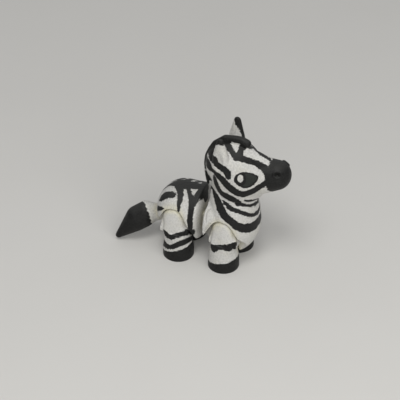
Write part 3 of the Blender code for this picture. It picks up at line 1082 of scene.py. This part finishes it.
def press_nostrils(mesh, tree):
    """Press the two nostrils into the muzzle, each with a raised rim."""
    places = read_places(mesh)
    middle = folded(laid_points([NOSTRIL_PIXEL], tree, FRONT))[0]
    away = (folded(FRONT.to_local(places)) - middle) / np.array(NOSTRIL_STRETCH)
    away = np.linalg.norm(away, axis=1)
    push = np.clip(1.0 - (away / NOSTRIL_RADIUS) ** 2, 0.0, 1.0) ** 2 * NOSTRIL_DEPTH
    beyond = (away - NOSTRIL_RADIUS * NOSTRIL_RIM_AT) / NOSTRIL_RIM_WIDTH
    press(mesh, places, push - np.exp(-(beyond**2)) * NOSTRIL_RIM)


def head_depth(near, inward, tree, strokes):
    """Signed distance to the head's black, with a border of its own inside the ears."""
    border = folded(laid_points(MUZZLE_BORDER, tree, FRONT))
    muzzle = np.maximum(on_plane(border, (1, 2), 0, near) - near[:, 0], MUZZLE_LOW - near[:, 2])
    mane = stroke_depth(near, [np.array(MANE_PAINT)])
    rays = [VIEW.ray(x, y) for x, y in EAR_BORDER[::-1]]
    line = np.array([FRONT.meets_side(ray, EAR_SIDE) for ray in rays])
    wedge = (np.interp(near[:, 2], line[:, 2], line[:, 0]) - near[:, 0]) * EAR_SLANT
    ears = (near[:, 2] > EAR_LOW) & (near[:, 1] < -EAR_INNER) & inward
    strokes = np.where(ears, np.maximum(wedge, EAR_LOW - near[:, 2]), strokes)
    return np.minimum(np.minimum(muzzle, mane), strokes)


def write_eye(mesh, near):
    """Signed distances to the eye's outline and to its glint, as seen by the camera."""
    seen = VIEW.pixels(FRONT.to_world(near))
    cheek = (near[:, 1] < -CHEEK_INNER) & (near[:, 2] > CHEEK_LOW) & (near[:, 0] > CHEEK_BACK)
    eye = outline_depth(seen, rounded_outline(EYE_OUTLINE))
    offset = (seen - np.array(GLINT_CENTRE)) / np.array(GLINT_RADII)
    glint = (np.linalg.norm(offset, axis=1) - 1.0) * sum(GLINT_RADII) / 2
    write_field(mesh, "eye_edge", np.where(cheek, eye, UNPAINTED))
    write_field(mesh, "glint_edge", np.where(cheek, glint, UNPAINTED))


def make_front_body(grain, material):
    """Chest, neck, head, ears and mane in one print."""
    node = "front_body"
    body = make_scratch("front_forms", front_forms(), FRONT)
    melt(body, grain, FRONT_ROUNDS)
    tools = []
    for cup in (EAR_CUP, mirrored(EAR_CUP)):
        tools.append(make_scratch(f"ear_cup_{len(tools)}", [ball(*cup)], FRONT))
        carve(body, tools[-1])
    tools += cut_leg_rooms(body, FRONT, FRONT_DOME_SHIFT)
    tongue = make_scratch("tongue", [tongue_points(-WAIST_BACK, 0.0)], FRONT)
    carve(body, tongue, "UNION")
    melt(body, grain, LAST_ROUNDS)
    mesh = baked(body, node)
    remove_scratch([body, tongue] + tools)
    tree = mesh_tree(mesh)
    local = FRONT.to_local(read_places(mesh))
    near = folded(local)
    facing = (vertex_normals(mesh) @ FRONT.axes.T)[:, 1]
    inward = (facing - EAR_FACING) * np.sign(local[:, 1]) < 0.0
    painted = stroke_depth(near, laid_folded({**HEAD_STROKES, **NECK_STROKES}, tree, FRONT))
    far_line = stroke_depth(local, [laid_stroke(BRIDGE_LINE, tree, FRONT)])
    paint(mesh, node, head_depth(near, inward, tree, np.minimum(painted, far_line)))
    write_eye(mesh, near)
    press_creases(mesh, tree)
    press_nostrils(mesh, tree)
    place_piece(mesh, node, material)


def make_rear_body(grain, material):
    """The rump with its black back, flank stripes and tail socket."""
    node = "rear_body"
    body = make_scratch("rear_forms", [hull_of(RUMP, REAR_WAIST)], REAR)
    melt(body, grain, REAR_ROUNDS)
    tools = cut_leg_rooms(body, REAR, HIND_DOME_SHIFT)
    for room in (tongue_points(WHEELBASE - WAIST_BACK, JOINT_GAP), tail_root(JOINT_GAP)):
        tools.append(make_scratch(f"joint_room_{len(tools)}", [room], REAR))
        carve(body, tools[-1])
    melt(body, grain, LAST_ROUNDS)
    mesh = baked(body, node)
    remove_scratch([body] + tools)
    tree = mesh_tree(mesh)
    local = REAR.to_local(read_places(mesh))
    flanks = stroke_depth(folded(local), laid_folded(RUMP_STROKES, tree, REAR))
    spine = stroke_depth(local, [laid_stroke(path, tree, REAR) for path in SPINE_STROKES.values()])
    paint(mesh, node, np.minimum(flanks, spine))
    place_piece(mesh, node, material)


def make_tail(grain, material):
    """The tail: white root and black tuft with a ragged border."""
    node = "tail"
    chain = (TAIL_COLLAR, TAIL_SWELL, TAIL_BEND, TAIL_TIP)
    forms = [tail_root(0.0)] + [hull_of(*pair) for pair in zip(chain[:-1], chain[1:])]
    tail = make_scratch("tail_forms", forms, REAR)
    melt(tail, grain, TAIL_ROUNDS)
    mesh = baked(tail, node)
    remove_scratch([tail])
    local = REAR.to_local(read_places(mesh))
    edge = on_plane(laid_points(TAIL_BORDER, mesh_tree(mesh), REAR), (2, 1), 0, local)
    teeth = np.abs(((local[:, 2] * TOOTH_UP + local[:, 1] * TOOTH_ACROSS) % 1.0) - 0.5) * 2.0
    paint(mesh, node, local[:, 0] - edge + (teeth - 0.5) * TOOTH_LENGTH)
    place_piece(mesh, node, material)


def make_floor(pale):
    """A plain pale floor."""
    mesh = bpy.data.meshes.new("floor")
    corners = [(x * FLOOR_REACH, y * FLOOR_REACH, 0.0) for x, y in ((-1, -1), (1, -1), (1, 1), (-1, 1))]
    mesh.from_pydata(corners, [], [(0, 1, 2, 3)])
    floor = bpy.data.objects.new("floor", mesh)
    bpy.context.scene.collection.objects.link(floor)
    graph = Graph("pale_floor")
    place = graph.node("ShaderNodeTexCoord", {}, {}, "Object")
    darker = tuple(part * FLOOR_SHADE for part in pale)
    shade = graph.blend(graph.noise(place, *FLOOR_CLOUD), pale, darker)
    graph.finish(shade, FLOOR_ROUGHNESS, FLOOR_SHINE)
    mesh.materials.append(graph.material)


def make_light(name, place, target, size, watts, tint):
    """A soft square light that looks at the toy."""
    data = bpy.data.lights.new(name, "AREA")
    data.shape = "SQUARE"
    data.size = size
    data.energy = watts
    data.color = tint
    lamp = bpy.data.objects.new(name, data)
    bpy.context.scene.collection.objects.link(lamp)
    lamp.location = place
    lamp.rotation_euler = (target - place).to_track_quat("-Z", "Y").to_euler()


def make_camera():
    """The camera of the view."""
    data = bpy.data.cameras.new("camera")
    data.lens = VIEW_LENS
    data.sensor_width = VIEW_SENSOR
    data.clip_start, data.clip_end = VIEW_CLIP
    camera = bpy.data.objects.new("camera", data)
    bpy.context.scene.collection.objects.link(camera)
    camera.matrix_world = VIEW.matrix()
    bpy.context.scene.camera = camera


def make_room():
    """A high light, a soft front light and an even room."""
    scene = bpy.context.scene
    heart = VIEW.centre
    for name, (aside, back, up), size, watts, tint in LIGHTS:
        place = heart + VIEW.right * aside + VIEW.back * back + Vector((0.0, 0.0, up))
        make_light(name, place, heart, size, watts, tint)
    scene.world = bpy.data.worlds.new("soft_room")
    scene.world.use_nodes = True
    background = scene.world.node_tree.nodes["Background"]
    background.inputs["Color"].default_value = ROOM_TINT
    background.inputs["Strength"].default_value = ROOM_STRENGTH
    scene.view_settings.view_transform = "Standard"
    scene.view_settings.look = "None"


class MakeFrontBody(bpy.types.Operator):
    """Make the chest, neck, head and ears"""

    bl_idname = "zebra.front_body"
    bl_label = "Front body"

    def execute(self, context):
        material = make_print_material("printed_face", with_eye=True)
        make_front_body(context.scene.zebra_sizes.body_grain, material)
        return {"FINISHED"}


class MakeRearBody(bpy.types.Operator):
    """Make the rump"""

    bl_idname = "zebra.rear_body"
    bl_label = "Rear body"

    def execute(self, context):
        make_rear_body(context.scene.zebra_sizes.body_grain, make_print_material("printed_rump"))
        return {"FINISHED"}


LEGS = (
    ("front_leg_", FRONT, FRONT_DOME_SHIFT, FRONT_LEG_STROKES, FRONT_HOOF_LINE),
    ("hind_leg_", REAR, HIND_DOME_SHIFT, HIND_LEG_STROKES, HIND_HOOF_LINE),
)


class MakeLegs(bpy.types.Operator):
    """Make the four legs"""

    bl_idname = "zebra.legs"
    bl_label = "Legs"

    def execute(self, context):
        grain = context.scene.zebra_sizes.small_grain
        material = make_print_material("printed_legs", with_boot_shade=True)
        for side, hand in ((-1.0, "right"), (1.0, "left")):
            for name, half, shift, strokes, hoof_line in LEGS:
                make_leg_print(name + hand, half, shift, side, strokes, hoof_line, grain, material)
        return {"FINISHED"}


class MakeTail(bpy.types.Operator):
    """Make the tail"""

    bl_idname = "zebra.tail"
    bl_label = "Tail"

    def execute(self, context):
        make_tail(context.scene.zebra_sizes.small_grain, make_print_material("printed_tail_plastic"))
        return {"FINISHED"}


class MakeStudio(bpy.types.Operator):
    """Make the camera, the floor and the lights"""

    bl_idname = "zebra.studio"
    bl_label = "Studio"

    def execute(self, context):
        make_camera()
        make_floor(context.scene.zebra_colours.floor)
        make_room()
        return {"FINISHED"}


class ZebraPanel(bpy.types.Panel):
    """The toy's sizes, colours and steps"""

    bl_idname = "VIEW3D_PT_zebra"
    bl_label = "Zebra"
    bl_space_type = "VIEW_3D"
    bl_region_type = "UI"
    bl_category = "Zebra"

    def draw(self, context):
        layout = self.layout
        for group in (context.scene.zebra_sizes, context.scene.zebra_colours):
            for name in group.__annotations__:
                layout.prop(group, name)
        for step in STEPS:
            layout.operator(step.bl_idname)


STEPS = (MakeFrontBody, MakeRearBody, MakeLegs, MakeTail, MakeStudio)
CLASSES = (ZebraSizes, ZebraColours) + STEPS + (ZebraPanel,)


def register():
    """Add the classes and the settings to Blender."""
    for item in CLASSES:
        bpy.utils.register_class(item)
    bpy.types.Scene.zebra_sizes = bpy.props.PointerProperty(type=ZebraSizes)
    bpy.types.Scene.zebra_colours = bpy.props.PointerProperty(type=ZebraColours)


def unregister():
    """Take the settings and the classes away again."""
    del bpy.types.Scene.zebra_colours
    del bpy.types.Scene.zebra_sizes
    for item in reversed(CLASSES):
        bpy.utils.unregister_class(item)


def main():
    """Make every piece, then the studio."""
    register()
    bpy.ops.zebra.front_body()
    bpy.ops.zebra.rear_body()
    bpy.ops.zebra.legs()
    bpy.ops.zebra.tail()
    bpy.ops.zebra.studio()


if __name__ == "__main__":
    main()
